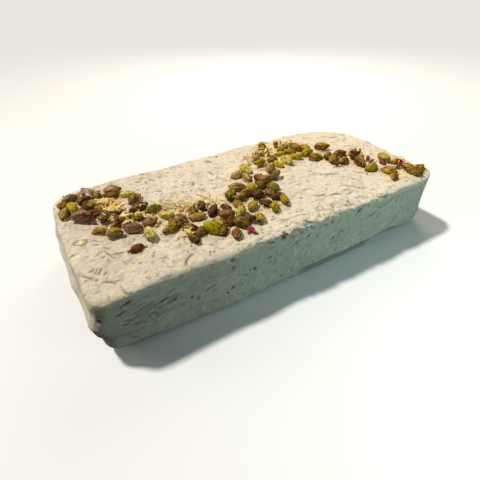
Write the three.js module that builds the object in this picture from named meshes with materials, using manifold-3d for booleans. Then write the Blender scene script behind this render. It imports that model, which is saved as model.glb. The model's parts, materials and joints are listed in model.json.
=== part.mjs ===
// A slab of pistachio nougat, as it is turned out of its tray and cut up by weight: one block of pale
// whipped nougat, with whole pistachio kernels pressed into its top in a winding trail.
// Millimetres, +Z up. X runs along the slab and Y across it. The origin is under the slab's middle, on
// the board that it lies on.

import * as THREE from "three";
import { mergeVertices } from "three/addons/utils/BufferGeometryUtils.js";
import Module from "manifold-3d";

const { degToRad, lerp, seededRandom, smoothstep } = THREE.MathUtils;
const wasm = await Module();
wasm.setup();

// The slab.
const LENGTH = 381;
const WIDTH = 175;
const HEIGHT = 65;
const TOP_EDGE = 6; // radius of the rim round the top
const FOOT = { inset: 5, rise: 8 }; // the rounded foot along the middle of the sides
const LEFT_FOOT = { inset: 9, rise: 16, from: -105, to: -190 }; // what it gains towards the left end
const RIGHT_FOOT = { inset: 10, rise: 9, from: 102, to: 116 }; // and along the right third
const END_TUCK = { left: 29, right: 13 }; // how far the underside stops short of each end
const LIP = { out: 4.5, down: 31, spread: 8 }; // bulge low on the left end
const WAIST = { in: 6, down: 27, spread: 8 }; // hollow along the right end
const SAG = 3; // how far the top falls towards the back right corner
const SAG_REACH = 95;
const UNEVEN = { outline: 1.3, wall: 0.9, top: 1.1 }; // swell of the hand-pressed faces
const SWELL_SPAN = { outline: 84, wall: 47, top: 66 };

// How each corner is rounded in plan, anticlockwise from the front left one.
const CORNERS = [
  { sideX: -1, sideY: -1, alongX: 12, alongY: 12 },
  { sideX: 1, sideY: -1, alongX: 21, alongY: 17 },
  { sideX: 1, sideY: 1, alongX: 72, alongY: 44 },
  { sideX: -1, sideY: 1, alongX: 36, alongY: 27 },
];

// Fineness of the slab's faces.
const CORNER_STEPS = 4;
const SIDE_PITCH = 17;
const EDGE_STEPS = 3;
const WALL_STEPS = 3;
const TOP_RINGS = 4;

// The pistachio kernels.
const FLOOR_KERNELS = 45; // pressed into the nougat
const HEAPED_KERNELS = 14; // lying on those
const KERNEL_LENGTH = [14.5, 19];
const BREADTH_SHARE = [0.53, 0.61]; // of the length
const THICKNESS_SHARE = [0.84, 0.95]; // of the breadth
const TAPER = 0.2; // how much slimmer the pointed half is than the blunt one
const TRAIL_SAMPLES = 200;
const KERNEL_SIDES = 8;
const KERNEL_BANDS = 5;
const SINK = [1.3, 2.3]; // how deep a kernel is pressed in
const TILT = degToRad(9);
const HEAPED_TILT = degToRad(20);
const LEAST_LIFT = 2; // how far a heaped kernel lies above one that is pressed into the nougat
const LIFT_STEP = 0.3;
const SOCKET_GAP = 0.3; // between a kernel and what it touches
const KERNEL_GAP = 0.6; // least room between two kernels
const CLOSE_ENOUGH = 2.5; // room that a kernel is happy to leave to its nearest neighbour
const TRIES = 300;
const GOLDEN_STEP = (Math.sqrt(5) - 1) / 2; // spreads the kernels evenly along the trail
const STRAY = [0.02, 0.08]; // how far a kernel may move along the trail, from its first try to its last
const SEED = 96;

// The middle of the trail of kernels, and how far it spreads to each side.
const TRAIL = [
  { x: -171, y: 50, spread: 22 },
  { x: -144, y: 26, spread: 33 },
  { x: -112, y: -22, spread: 27 },
  { x: -78, y: -38, spread: 24 },
  { x: -46, y: -46, spread: 14 },
  { x: -14, y: -32, spread: 28 },
  { x: 16, y: 0, spread: 24 },
  { x: 50, y: 34, spread: 24 },
  { x: 84, y: 46, spread: 24 },
  { x: 106, y: 24, spread: 17 },
  { x: 128, y: -10, spread: 11 },
  { x: 154, y: -44, spread: 19 },
  { x: 165, y: -71, spread: 6 },
];

const NOUGAT_CREAM = 0xe6d8bc;
const KERNEL_COLOURS = [0x6f5033, 0x84691f, 0x5c4a2c, 0x7d7030, 0x9a8f2a];

// A smooth value between about -1 and 1, for the unevenness of hand-pressed nougat.
function swell(u, v, span) {
  const turn = (2 * Math.PI) / span;
  const along = Math.sin(turn * u + 1.7 * Math.sin(turn * 0.6 * v));
  const across = Math.sin(turn * (0.8 * v - 0.45 * u) + 2.1);
  const slant = Math.sin(turn * 1.7 * (0.5 * u + v) + 4);
  return (along + across + 0.6 * slant) / 2.6;
}

// Height of the top face over the board.
function topHeight(x, y) {
  const toCorner = Math.hypot(x - LENGTH / 2, y - WIDTH / 2);
  const sag = SAG * (1 - smoothstep(toCorner, 0, SAG_REACH));
  return HEIGHT - sag + UNEVEN.top * swell(x, y, SWELL_SPAN.top);
}

// A point on one corner's quarter turn, seen from above.
function onCorner({ sideX, sideY, alongX, alongY }, turn) {
  const x = sideX * (LENGTH / 2 - alongX) + alongX * Math.cos(turn);
  const y = sideY * (WIDTH / 2 - alongY) + alongY * Math.sin(turn);
  return new THREE.Vector2(x, y);
}

// The slab's outline from above, anticlockwise: each point with its outward direction.
function outline() {
  const points = [];
  CORNERS.forEach((corner, i) => {
    const startTurn = Math.PI + (Math.PI / 2) * i;
    const endTurn = startTurn + Math.PI / 2;
    for (let k = 0; k <= CORNER_STEPS; k++) {
      points.push(onCorner(corner, lerp(startTurn, endTurn, k / CORNER_STEPS)));
    }
    const start = points.at(-1);
    const end = onCorner(CORNERS[(i + 1) % CORNERS.length], endTurn);
    const steps = Math.round(start.distanceTo(end) / SIDE_PITCH);
    for (let k = 1; k < steps; k++) {
      points.push(start.clone().lerp(end, k / steps));
    }
  });
  return points.map((p, i) => {
    const before = points.at(i - 1);
    const after = points[(i + 1) % points.length];
    const out = new THREE.Vector2(after.y - before.y, before.x - after.x).normalize();
    const at = p.clone().addScaledVector(out, UNEVEN.outline * swell(p.x, p.y, SWELL_SPAN.outline));
    return { at, out };
  });
}

// How much deeper the foot is under one place along the slab: none, or up to all of an end's gain.
function footGain({ from, to }, x) {
  return smoothstep((x - from) / (to - from), 0, 1);
}

// Moves a point of the outline in under the slab by a share of the foot's full depth there.
function tuckedIn(at, share) {
  const left = footGain(LEFT_FOOT, at.x) * LEFT_FOOT.inset;
  const right = footGain(RIGHT_FOOT, at.x) * RIGHT_FOOT.inset;
  const endTuck = at.x < 0 ? END_TUCK.left : END_TUCK.right;
  const x = at.x * (1 - (share * endTuck) / (LENGTH / 2));
  const y = at.y * (1 - (share * (FOOT.inset + left + right)) / (WIDTH / 2));
  return new THREE.Vector2(x, y);
}

// The wall's own shape at a height: how far it stands out of the outline.
function wallOut({ at, out }, z) {
  const bump = ({ down, spread }) => Math.exp(-(((HEIGHT - z - down) / spread) ** 2));
  const lip = LIP.out * bump(LIP) * Math.max(0, -out.x);
  const waist = WAIST.in * bump(WAIST) * Math.max(0, out.x);
  return lip - waist + UNEVEN.wall * swell(at.x - at.y, z * 2, SWELL_SPAN.wall);
}

// One upright section of the slab's wall, from the flat underside over the rim to the top face.
function wallSection(point) {
  const { at, out } = point;
  const left = footGain(LEFT_FOOT, at.x) * LEFT_FOOT.rise;
  const right = footGain(RIGHT_FOOT, at.x) * RIGHT_FOOT.rise;
  const rise = FOOT.rise + left + right;
  const rim = topHeight(at.x, at.y);
  const section = [];
  for (let k = 0; k <= EDGE_STEPS; k++) {
    const turn = ((Math.PI / 2) * k) / EDGE_STEPS;
    section.push({ tuck: 1 - Math.sin(turn), inset: 0, z: rise * (1 - Math.cos(turn)) });
  }
  for (let k = 1; k < WALL_STEPS; k++) {
    section.push({ tuck: 0, inset: 0, z: lerp(rise, rim - TOP_EDGE, k / WALL_STEPS) });
  }
  for (let k = 0; k <= EDGE_STEPS; k++) {
    const turn = ((Math.PI / 2) * k) / EDGE_STEPS;
    const z = rim - TOP_EDGE * (1 - Math.sin(turn));
    section.push({ tuck: 0, inset: TOP_EDGE * (1 - Math.cos(turn)), z });
  }
  return section.map(({ tuck, inset, z }) => {
    const isWall = z > 0 && z < rim;
    const stand = isWall ? wallOut(point, z) : 0;
    const place = tuckedIn(at, tuck).addScaledVector(out, stand - inset);
    return new THREE.Vector3(place.x, place.y, z);
  });
}

// The whole slab as one closed surface: rings up the wall, then rings in over the top to its spine.
function slabGeometry() {
  const sections = outline().map(wallSection);
  const spine = (LENGTH - WIDTH) / 2;
  const rings = sections[0].map((_, level) => sections.map((section) => section[level]));
  const rim = rings.at(-1);
  for (let k = 1; k <= TOP_RINGS; k++) {
    rings.push(
      rim.map((p) => {
        const inwards = k / (TOP_RINGS + 0.5);
        const x = lerp(p.x, THREE.MathUtils.clamp(p.x, -spine, spine), inwards);
        const y = lerp(p.y, 0, inwards);
        return new THREE.Vector3(x, y, topHeight(x, y));
      }),
    );
  }
  const count = rim.length;
  const faces = [];
  for (let k = 0; k + 1 < rings.length; k++) {
    for (let i = 0; i < count; i++) {
      const low = k * count + i;
      const lowNext = k * count + ((i + 1) % count);
      faces.push(low, lowNext, lowNext + count, low, lowNext + count, low + count);
    }
  }
  const fill = (ring) => THREE.ShapeUtils.triangulateShape(ring.map((p) => new THREE.Vector2(p.x, p.y)), []);
  const topFirst = (rings.length - 1) * count;
  for (const [a, b, c] of fill(rings[0])) {
    faces.push(a, c, b);
  }
  for (const [a, b, c] of fill(rings.at(-1))) {
    faces.push(topFirst + a, topFirst + b, topFirst + c);
  }
  return new THREE.BufferGeometry().setFromPoints(rings.flat()).setIndex(faces);
}

// A kernel round its own middle: long along X, blunt at one end and pointed at the other.
function kernelGeometry(length, breadth, thickness) {
  const profile = [];
  for (let k = 0; k <= KERNEL_BANDS; k++) {
    const turn = (Math.PI * k) / KERNEL_BANDS;
    const isTip = k === 0 || k === KERNEL_BANDS;
    const along = -Math.cos(turn);
    profile.push(new THREE.Vector2(isTip ? 0 : Math.sin(turn) * (1 - TAPER * along), along));
  }
  return new THREE.LatheGeometry(profile, KERNEL_SIDES)
    .rotateZ(-Math.PI / 2)
    .scale(length / 2, breadth / 2, thickness / 2);
}

function between([low, high]) {
  return lerp(low, high, seededRandom());
}

// Distance from a point to the middle line of a kernel, seen from above.
function toMiddleLine(x, y, kernel) {
  const alongX = Math.cos(kernel.heading);
  const alongY = Math.sin(kernel.heading);
  const reach = (kernel.length - kernel.breadth) / 2;
  const along = (x - kernel.x) * alongX + (y - kernel.y) * alongY;
  const near = THREE.MathUtils.clamp(along, -reach, reach);
  return Math.hypot(x - kernel.x - near * alongX, y - kernel.y - near * alongY);
}

// Free room between two kernels, seen from above.
function room(a, b) {
  const ends = (k) => {
    const reach = (k.length - k.breadth) / 2;
    return [-reach, reach].map((r) => [k.x + r * Math.cos(k.heading), k.y + r * Math.sin(k.heading)]);
  };
  const fromA = ends(a).map(([x, y]) => toMiddleLine(x, y, b));
  const fromB = ends(b).map(([x, y]) => toMiddleLine(x, y, a));
  return Math.min(...fromA, ...fromB) - (a.breadth + b.breadth) / 2;
}

// How high above its place on the nougat a kernel comes to rest on the kernels that are laid already.
function lift(kernel, laid) {
  const lifts = laid.map((other) => {
    const touching = (kernel.thickness + other.thickness) / 2;
    const apart = room(kernel, other) + (kernel.breadth + other.breadth) / 2;
    return other.lift + Math.sqrt(Math.max(0, touching ** 2 - apart ** 2));
  });
  return Math.max(0, ...lifts);
}

// Lays the kernels one by one. Each has its own stretch of the trail, and is tried there in many ways.
// One that is pressed into the nougat takes a way that is close to the others, and a heaped one takes
// the lowest way in which it lies on them.
function layKernels() {
  seededRandom(SEED);
  const trail = new THREE.CatmullRomCurve3(TRAIL.map((p) => new THREE.Vector3(p.x, p.y, p.spread)));
  const samples = trail.getSpacedPoints(TRAIL_SAMPLES);
  const areas = samples.map((_, i) => samples.slice(0, i + 1).reduce((sum, p) => sum + p.z, 0));
  const laid = [];
  for (let n = 0; n < FLOOR_KERNELS + HEAPED_KERNELS; n++) {
    const isHeaped = n >= FLOOR_KERNELS;
    const share = ((n * GOLDEN_STEP) % 1) * areas.at(-1);
    const station = areas.findIndex((area) => area >= share) / (samples.length - 1);
    const length = between(KERNEL_LENGTH);
    const breadth = length * between(BREADTH_SHARE);
    const thickness = breadth * between(THICKNESS_SHARE);
    let best = null;
    for (let k = 0; k < TRIES; k++) {
      const stray = lerp(STRAY[0], STRAY[1], k / TRIES) * between([-1, 1]);
      const place = THREE.MathUtils.clamp(station + stray, 0, 1);
      const middle = trail.getPointAt(place);
      const aside = middle.z * between([-1, 1]);
      const ahead = trail.getTangentAt(place).setZ(0).normalize();
      const x = middle.x - ahead.y * aside;
      const y = middle.y + ahead.x * aside;
      const heading = between([-Math.PI, Math.PI]);
      const kernel = { x, y, heading, length, breadth, thickness, isHeaped };
      kernel.lift = isHeaped ? lift(kernel, laid) : 0;
      const nearest = Math.min(...laid.map((other) => room(kernel, other)));
      if (isHeaped ? kernel.lift < LEAST_LIFT : nearest < KERNEL_GAP) continue;
      kernel.effort = isHeaped ? kernel.lift : Math.max(nearest, CLOSE_ENOUGH);
      if (!best || kernel.effort < best.effort) best = kernel;
    }
    if (!best) throw new Error("the trail has no room left for kernel " + (n + 1));
    laid.push(best);
  }
  return laid;
}

// A closed geometry as a solid for cutting. Faces that close up to a line at a lathed tip are left out.
function solidOf(geometry) {
  const bare = geometry.clone();
  bare.deleteAttribute("normal");
  bare.deleteAttribute("uv");
  const merged = mergeVertices(bare);
  const corners = merged.index.array;
  const faces = [];
  for (let i = 0; i < corners.length; i += 3) {
    const face = corners.slice(i, i + 3);
    if (new Set(face).size === 3) faces.push(...face);
  }
  return new wasm.Manifold(
    new wasm.Mesh({
      numProp: 3,
      vertProperties: merged.attributes.position.array,
      triVerts: new Uint32Array(faces),
    }),
  );
}

function geometryOf(solid) {
  const { vertProperties, triVerts } = solid.getMesh();
  return new THREE.BufferGeometry()
    .setAttribute("position", new THREE.BufferAttribute(vertProperties, 3))
    .setIndex(new THREE.BufferAttribute(triVerts, 1));
}

// The room that a kernel takes up: its own shape, a little larger all round.
function roomOf(kernel, mesh) {
  mesh.updateMatrix();
  const grown = [kernel.length, kernel.breadth, kernel.thickness].map((size) => size + 2 * SOCKET_GAP);
  return solidOf(kernelGeometry(...grown).applyMatrix4(mesh.matrix));
}

// One kernel's mesh, in its place. A heaped one is lifted until it is clear of those under it.
function kernelMesh(kernel, n, rooms) {
  const { length, breadth, thickness, isHeaped } = kernel;
  const tilt = isHeaped ? HEAPED_TILT : TILT;
  const colour = KERNEL_COLOURS[n % KERNEL_COLOURS.length];
  const mesh = new THREE.Mesh(
    kernelGeometry(length, breadth, thickness),
    new THREE.MeshStandardMaterial({ color: colour, roughness: 0.5, metalness: 0 }),
  );
  const height = topHeight(kernel.x, kernel.y) + thickness / 2 - between(SINK) + kernel.lift;
  mesh.name = "kernel_" + String(n + 1).padStart(2, "0");
  mesh.position.set(kernel.x, kernel.y, height);
  mesh.rotation.set(between([-tilt, tilt]), between([-tilt, tilt]), kernel.heading, "ZYX");
  while (isHeaped && rooms.some((other) => !roomOf(kernel, mesh).intersect(other).isEmpty())) {
    mesh.position.z += LIFT_STEP;
  }
  return mesh;
}

const kernelMeshes = [];
const rooms = [];
layKernels().forEach((kernel, n) => {
  const mesh = kernelMesh(kernel, n, rooms);
  kernelMeshes.push(mesh);
  rooms.push(roomOf(kernel, mesh));
});
const slab = rooms.reduce((body, hollow) => body.subtract(hollow), solidOf(slabGeometry()));
const slabMesh = new THREE.Mesh(
  geometryOf(slab),
  new THREE.MeshStandardMaterial({ color: NOUGAT_CREAM, roughness: 0.75, metalness: 0 }),
);
slabMesh.name = "nougat_slab";

const nougat = new THREE.Group();
nougat.add(slabMesh, ...kernelMeshes);
const box = new THREE.Box3().setFromObject(slabMesh);
const middle = box.getCenter(new THREE.Vector3());
nougat.position.set(-middle.x, -middle.y, -box.min.z);

export default nougat;
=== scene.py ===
import json
import math

import bpy
import numpy as np
from mathutils import Matrix, Vector
from mathutils.bvhtree import BVHTree


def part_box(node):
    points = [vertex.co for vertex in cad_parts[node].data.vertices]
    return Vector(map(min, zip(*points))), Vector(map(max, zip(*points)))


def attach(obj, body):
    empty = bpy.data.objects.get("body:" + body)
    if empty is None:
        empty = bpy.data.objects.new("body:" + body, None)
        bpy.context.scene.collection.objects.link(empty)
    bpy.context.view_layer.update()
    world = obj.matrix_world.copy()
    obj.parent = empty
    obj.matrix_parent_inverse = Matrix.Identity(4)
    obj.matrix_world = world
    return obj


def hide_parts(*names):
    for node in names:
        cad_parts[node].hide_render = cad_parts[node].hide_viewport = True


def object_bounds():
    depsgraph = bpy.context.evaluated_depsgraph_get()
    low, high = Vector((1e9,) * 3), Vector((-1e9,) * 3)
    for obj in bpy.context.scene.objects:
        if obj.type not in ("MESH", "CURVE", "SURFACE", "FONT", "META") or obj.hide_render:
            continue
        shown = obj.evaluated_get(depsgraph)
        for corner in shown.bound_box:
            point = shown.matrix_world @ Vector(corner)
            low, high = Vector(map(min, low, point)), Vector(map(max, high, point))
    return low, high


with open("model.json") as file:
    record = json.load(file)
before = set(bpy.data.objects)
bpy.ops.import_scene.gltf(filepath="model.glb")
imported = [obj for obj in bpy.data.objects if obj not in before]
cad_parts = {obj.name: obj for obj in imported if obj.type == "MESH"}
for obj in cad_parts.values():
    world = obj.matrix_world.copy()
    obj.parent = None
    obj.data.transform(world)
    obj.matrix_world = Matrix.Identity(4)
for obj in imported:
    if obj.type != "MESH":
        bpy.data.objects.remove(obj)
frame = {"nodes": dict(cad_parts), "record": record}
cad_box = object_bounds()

# The nougat is one block of egg white and boiled sugar, whipped until it is pale and stiff and then
# pressed out by hand. The pressing leaves flakes, folds and small tears in its skin, the long side is
# smoother where it lay against a board, and the trimmed front rim is crumbly.
MM = 0.001
TOP = 65 * MM
GRAIN = 1.05 * MM
SLAB_TRIANGLES = 194000
INSET = 0.05 * MM
EDGE_WIDTH = 0.3 * MM
CREASE_WIDTH = 0.75 * MM
CREASE_DEPTH = 0.5 * MM
SMALL_FLAKES = 1900
LONG_FLAKES = 230
RIDGES = 62
VEINS = 170
SHORT_TEARS = 45
RIM_PITS = 26

slab_low, slab_high = (np.array(corner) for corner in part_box("nougat_slab"))


def only(piece):
    """Selects this piece alone and makes it active."""
    bpy.ops.object.select_all(action="DESELECT")
    piece.select_set(True)
    bpy.context.view_layer.objects.active = piece


def finish_with(piece, kind, **settings):
    """Gives the piece a modifier and applies it."""
    only(piece)
    modifier = piece.modifiers.new(kind.title(), kind)
    for setting, value in settings.items():
        setattr(modifier, setting, value)
    bpy.ops.object.modifier_apply(modifier=modifier.name)


def shade_smooth(piece):
    for polygon in piece.data.polygons:
        polygon.use_smooth = True


def select_faces(piece, test):
    """Selects only the faces that pass a test, in edit mode."""
    bpy.ops.object.mode_set(mode="EDIT")
    bpy.ops.mesh.select_mode(type="FACE")
    bpy.ops.mesh.select_all(action="DESELECT")
    bpy.ops.object.mode_set(mode="OBJECT")
    for face in piece.data.polygons:
        face.select = test(face)
    bpy.ops.object.mode_set(mode="EDIT")


def read(mesh, what="co"):
    """Every vertex's place, or its normal, as an array with three columns."""
    values = np.empty(len(mesh.vertices) * 3, np.float32)
    mesh.vertices.foreach_get(what, values)
    return values.reshape(-1, 3).astype(float)


def write(mesh, places):
    mesh.vertices.foreach_set("co", places.astype(np.float32).ravel())
    mesh.update()


def paint(mesh, name, values):
    """Keeps one number for each vertex under a name that a material can read."""
    layer = mesh.attributes.get(name) or mesh.attributes.new(name, "FLOAT", "POINT")
    layer.data.foreach_set("value", np.asarray(values, np.float32))


def slope(values, start, end):
    """0 up to start, 1 from end on, and smooth between them."""
    share = np.clip((values - start) / (end - start), 0, 1)
    return share * share * (3 - 2 * share)


def bell(values, middle, width):
    return np.exp(-(((values - middle) / width) ** 2))


# Random numbers on a lattice of cells, which every field of lumps is smoothed from.
LATTICE = np.random.default_rng(11).uniform(-1, 1, (32, 32, 32))


def lumps(places, span, seed=0, octaves=3):
    """A smooth random field over the places, mostly from -1 to 1, whose lumps are this long."""
    field = np.zeros(len(places))
    for octave in range(octaves):
        knots = places * (2**octave / span) + 7.3 * seed + 3.1 * octave
        cell = np.floor(knots).astype(int)
        share = knots - cell
        share = share * share * (3 - 2 * share)
        for corner in np.ndindex(2, 2, 2):
            weight = np.prod(np.where(corner, share, 1 - share), axis=1)
            field += weight * LATTICE[tuple(((cell + corner) % 32).T)] / 2**octave
    return field


def laid_flat(across, up, share):
    """A face of the block laid flat: its vertices in order, where they lie, and each one's share."""
    chart = np.stack((places[:, across], places[:, up]), axis=1) + WANDER
    order = np.flatnonzero(share > 0.02)
    order = order[np.argsort(chart[order, 0])]
    return order, chart[order, 0], chart, share


def near_to(face, x, y, turn, reach):
    """The vertices round a place on a face, where they lie along and across a heading, and their shares."""
    order, along, chart, share = face
    low, high = np.searchsorted(along, (x - reach, x + reach))
    near = order[low:high]
    near = near[np.abs(chart[near, 1] - y) < reach]
    offset = chart[near] - (x, y)
    u = offset @ (math.cos(turn), math.sin(turn))
    v = offset @ (-math.sin(turn), math.cos(turn))
    return near, u, v, share[near]


def flake(face, x, y, turn, length, bow, rise, fade, dark):
    """A thin flake, whose free edge is a shallow arc with a groove at its foot that is painted dark as
    painted shade.
    """
    near, u, v, share = near_to(face, x, y, turn, length / 2 + 3 * fade)
    taper = np.clip(1 - (2 * u / length) ** 2, 0, 1)
    inside = bow * length * taper - v
    step = 1 / (1 + np.exp(-np.clip(inside / EDGE_WIDTH, -30, 30)))
    height[near] += share * rise * taper**0.7 * step * np.exp(-np.maximum(inside, 0) / fade)
    foot = share * taper * bell(inside, -EDGE_WIDTH, CREASE_WIDTH)
    height[near] -= CREASE_DEPTH * dark * foot
    painted_crease_shade[near] = np.maximum(painted_crease_shade[near], dark * foot)


def tear(face, x, y, turn, length, width, depth, dark=1):
    """A tear, or a pit if it is as wide as it is long."""
    near, u, v, share = near_to(face, x, y, turn, length / 2 + 3 * width)
    gap = share * np.clip(1 - (2 * u / length) ** 2, 0, 1) ** 0.6 * bell(v, 0, width)
    height[near] -= depth * gap
    # The tear's hollow is painted dark, as painted shade.
    painted_crease_shade[near] = np.maximum(painted_crease_shade[near], dark * gap)


def vein(face, x, y, turn, length, width, rise):
    """A thin raised line."""
    near, u, v, share = near_to(face, x, y, turn, length / 2 + 3 * width)
    line = share * np.clip(1 - (2 * u / length) ** 2, 0, 1) ** 0.6 * bell(v, 0, width)
    height[near] += rise * line
    # The line is painted pale, as a painted highlight on its ridge.
    painted_highlight[near] = np.maximum(painted_highlight[near], line)


def ring(face, x, y, turn, length, breadth, width, depth):
    """An oval groove round something that is pressed in flush."""
    near, u, v, share = near_to(face, x, y, turn, length)
    away = (np.hypot(u / length, v / breadth) * 2 - 1) * breadth / 2
    gap = share * bell(away, 0, width)
    height[near] -= depth * gap
    # The groove is painted dark, as painted shade.
    painted_crease_shade[near] = np.maximum(painted_crease_shade[near], 0.8 * gap)


nougat = bpy.data.objects.new("nougat", frame["nodes"]["nougat_slab"].data.copy())
bpy.context.scene.collection.objects.link(nougat)
only(nougat)
bpy.ops.object.mode_set(mode="EDIT")
bpy.ops.mesh.select_all(action="SELECT")
bpy.ops.mesh.remove_doubles(threshold=0.01 * MM)
bpy.ops.object.mode_set(mode="OBJECT")
finish_with(nougat, "REMESH", mode="VOXEL", voxel_size=GRAIN)
finish_with(nougat, "SMOOTH", factor=0.5, iterations=5)

rng = np.random.default_rng(4)
places = read(nougat.data)
normals = read(nougat.data, "normal")
height = np.zeros(len(places))
painted_crease_shade = np.zeros(len(places))
painted_highlight = np.zeros(len(places))
WANDER = np.stack([lumps(places, 9 * MM, seed, 2) for seed in (1, 2)], axis=1) * 1.7 * MM
skyward = slope(normals[:, 2], 0.35, 0.8)
frontward = slope(-normals[:, 1], 0.45, 0.85)
backward = slope(normals[:, 1], 0.45, 0.85)
leftward = slope(-normals[:, 0], 0.45, 0.85)
rightward = slope(normals[:, 0], 0.45, 0.85)
top_face = laid_flat(0, 1, skyward)
front_face = laid_flat(0, 2, frontward)
back_face = laid_flat(0, 2, backward)
left_face = laid_flat(1, 2, leftward)
right_face = laid_flat(1, 2, rightward)
x, y, z = places.T

# The whole top rolls a little, and lobes with creased valleys between them show in some patches.
height += 0.45 * MM * lumps(places, 30 * MM, 3, 2)
lobes = np.abs(lumps(places, 11 * MM, 4, 2))
patchy = slope(lumps(places, 40 * MM, 5, 2), -0.3, 0.5)
height += skyward * patchy * (0.9 * MM * np.minimum(lobes, 0.6) - 0.2 * MM)
# The valleys between the lobes are painted dark, as painted shade.
painted_crease_shade += 0.35 * skyward * patchy * bell(lobes, 0, 0.035)

# Small flakes all over the top, with their free edges mostly towards the front left, where the hand
# pulled them, and longer overlapping ones in the right half.
low, high = slab_low[:2], slab_high[:2]
for _ in range(SMALL_FLAKES):
    spot = rng.uniform(low, high)
    turn = math.radians(rng.normal(160, 50))
    # dark is how much painted shade darkens the groove at each flake's foot, less in the right half.
    dark = rng.uniform(0, 1) ** 1.6 * (0.65 if spot[0] > 0 else 1)
    flake(
        top_face, *spot, turn, rng.uniform(2.2, 7.5) * MM, rng.uniform(-0.05, 0.3),
        rng.uniform(0.25, 0.75) * MM, rng.uniform(1.5, 4) * MM, dark,
    )
for _ in range(LONG_FLAKES):
    spot = rng.uniform((-10 * MM, low[1]), high)
    turn = math.radians(rng.normal(152, 18))
    flake(
        top_face, *spot, turn, rng.uniform(9, 18) * MM, rng.uniform(0, 0.15),
        rng.uniform(0.35, 0.8) * MM, rng.uniform(3, 7) * MM, rng.uniform(0, 1) ** 2,
    )

# The walls' flakes are fewer and lie along the slab, and small tears and pits show between them.
for face, low_corner, high_corner, count in (
    (front_face, (slab_low[0], 0), (slab_high[0], TOP), 60),
    (back_face, (slab_low[0], 0), (slab_high[0], TOP), 150),
    (left_face, (slab_low[1], 0), (slab_high[1], TOP), 80),
    (right_face, (slab_low[1], 0), (slab_high[1], TOP), 80),
):
    for _ in range(count):
        spot = rng.uniform(low_corner, high_corner)
        turn = math.radians(rng.normal(200, 22))
        flake(
            face, *spot, turn, rng.uniform(4, 13) * MM, rng.uniform(0, 0.12),
            rng.uniform(0.15, 0.5) * MM, rng.uniform(2, 6) * MM, 0.7 * rng.uniform(0, 1) ** 2,
        )
    for _ in range(count // 4):
        spot = rng.uniform(low_corner, high_corner)
        turn = math.radians(rng.normal(28, 20))
        size = rng.uniform(0.4, 0.9) * MM
        length = size * rng.uniform(2.5, 7)
        tear(face, *spot, turn, length, size, 1.3 * size, rng.uniform(0.3, 1))

# The larger marks of this slab's top: cracks near the front rim, a row of slanted nicks and a fold in
# the front left corner, scalloped layers on the right, and nicks along the back. Each has its place, in
# millimetres, its heading, in degrees, and its length, width and depth.
for mark in (
    (-105, -75.7, 38, 16, 0.9, 1.6), (-176, -48.7, 43, 7, 0.8, 1), (-173.5, -51.4, 46, 7, 0.8, 1),
    (-170.8, -54, 48, 6, 0.8, 1), (-168, -57, 50, 6, 0.7, 0.9), (-157.8, -37, -68, 18, 0.6, 0.8),
    (-164.6, -31.9, 29, 10, 0.6, 0.7), (-181, -55, -62, 15, 0.9, 0.9), (-167, -69.8, -32, 13, 0.8, 1),
    (-162, -69.6, 3, 7, 0.8, 1), (7.9, -72.8, -17, 19, 0.7, 1), (31.7, -48.3, -31, 5, 1, 1.2),
    (67, -78, -103, 6, 1.3, 1.6), (62, -81, -80, 5, 1.2, 1.5), (48, -77, -104, 9, 0.9, 1.1),
    (-12.6, 67.5, -11, 10, 1, 1.1), (-21, 43.8, -73, 11, 1.1, 1.3), (-49.3, 32.5, -111, 9, 1, 1.3),
    (-45.8, 15.7, -13, 7, 1, 1.2), (-70, 36.5, -63, 9, 1, 1.1), (-84.6, 36.3, -31, 7, 1, 1.2),
    (-97, 67.6, -7, 8, 1.1, 1.2), (2, 76, -108, 5, 1.1, 1.3), (-4.8, 47, -102, 4, 1.2, 1.4),
):
    spot_x, spot_y, heading, *sizes = mark
    tear(top_face, spot_x * MM, spot_y * MM, math.radians(heading), *(s * MM for s in sizes))
for spot_x, spot_y, heading, length in (
    (51, -52.9, 172, 17), (66, -60.4, 152, 16), (79.2, -65.6, 172, 14), (88.8, -22.6, 149, 30),
    (-152, -38, 150, 13),
):
    flake(
        top_face, spot_x * MM, spot_y * MM, math.radians(heading), length * MM, 0.1,
        1.1 * MM, 6 * MM, 1,
    )

# Three oval grooves: one round the kernel that is pressed in flush, and two where kernels lie just below.
FLUSH_KERNEL = np.array((-174, -9.2)) * MM
FLUSH_HEADING = math.radians(-31)
ring(top_face, *FLUSH_KERNEL, FLUSH_HEADING, 11 * MM, 8.5 * MM, 0.9 * MM, 1 * MM)
ring(top_face, 15.4 * MM, -66.8 * MM, 0, 6 * MM, 5 * MM, 0.6 * MM, 0.8 * MM)
ring(top_face, 37 * MM, -73.5 * MM, 0, 6.5 * MM, 6 * MM, 0.6 * MM, 0.7 * MM)

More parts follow.
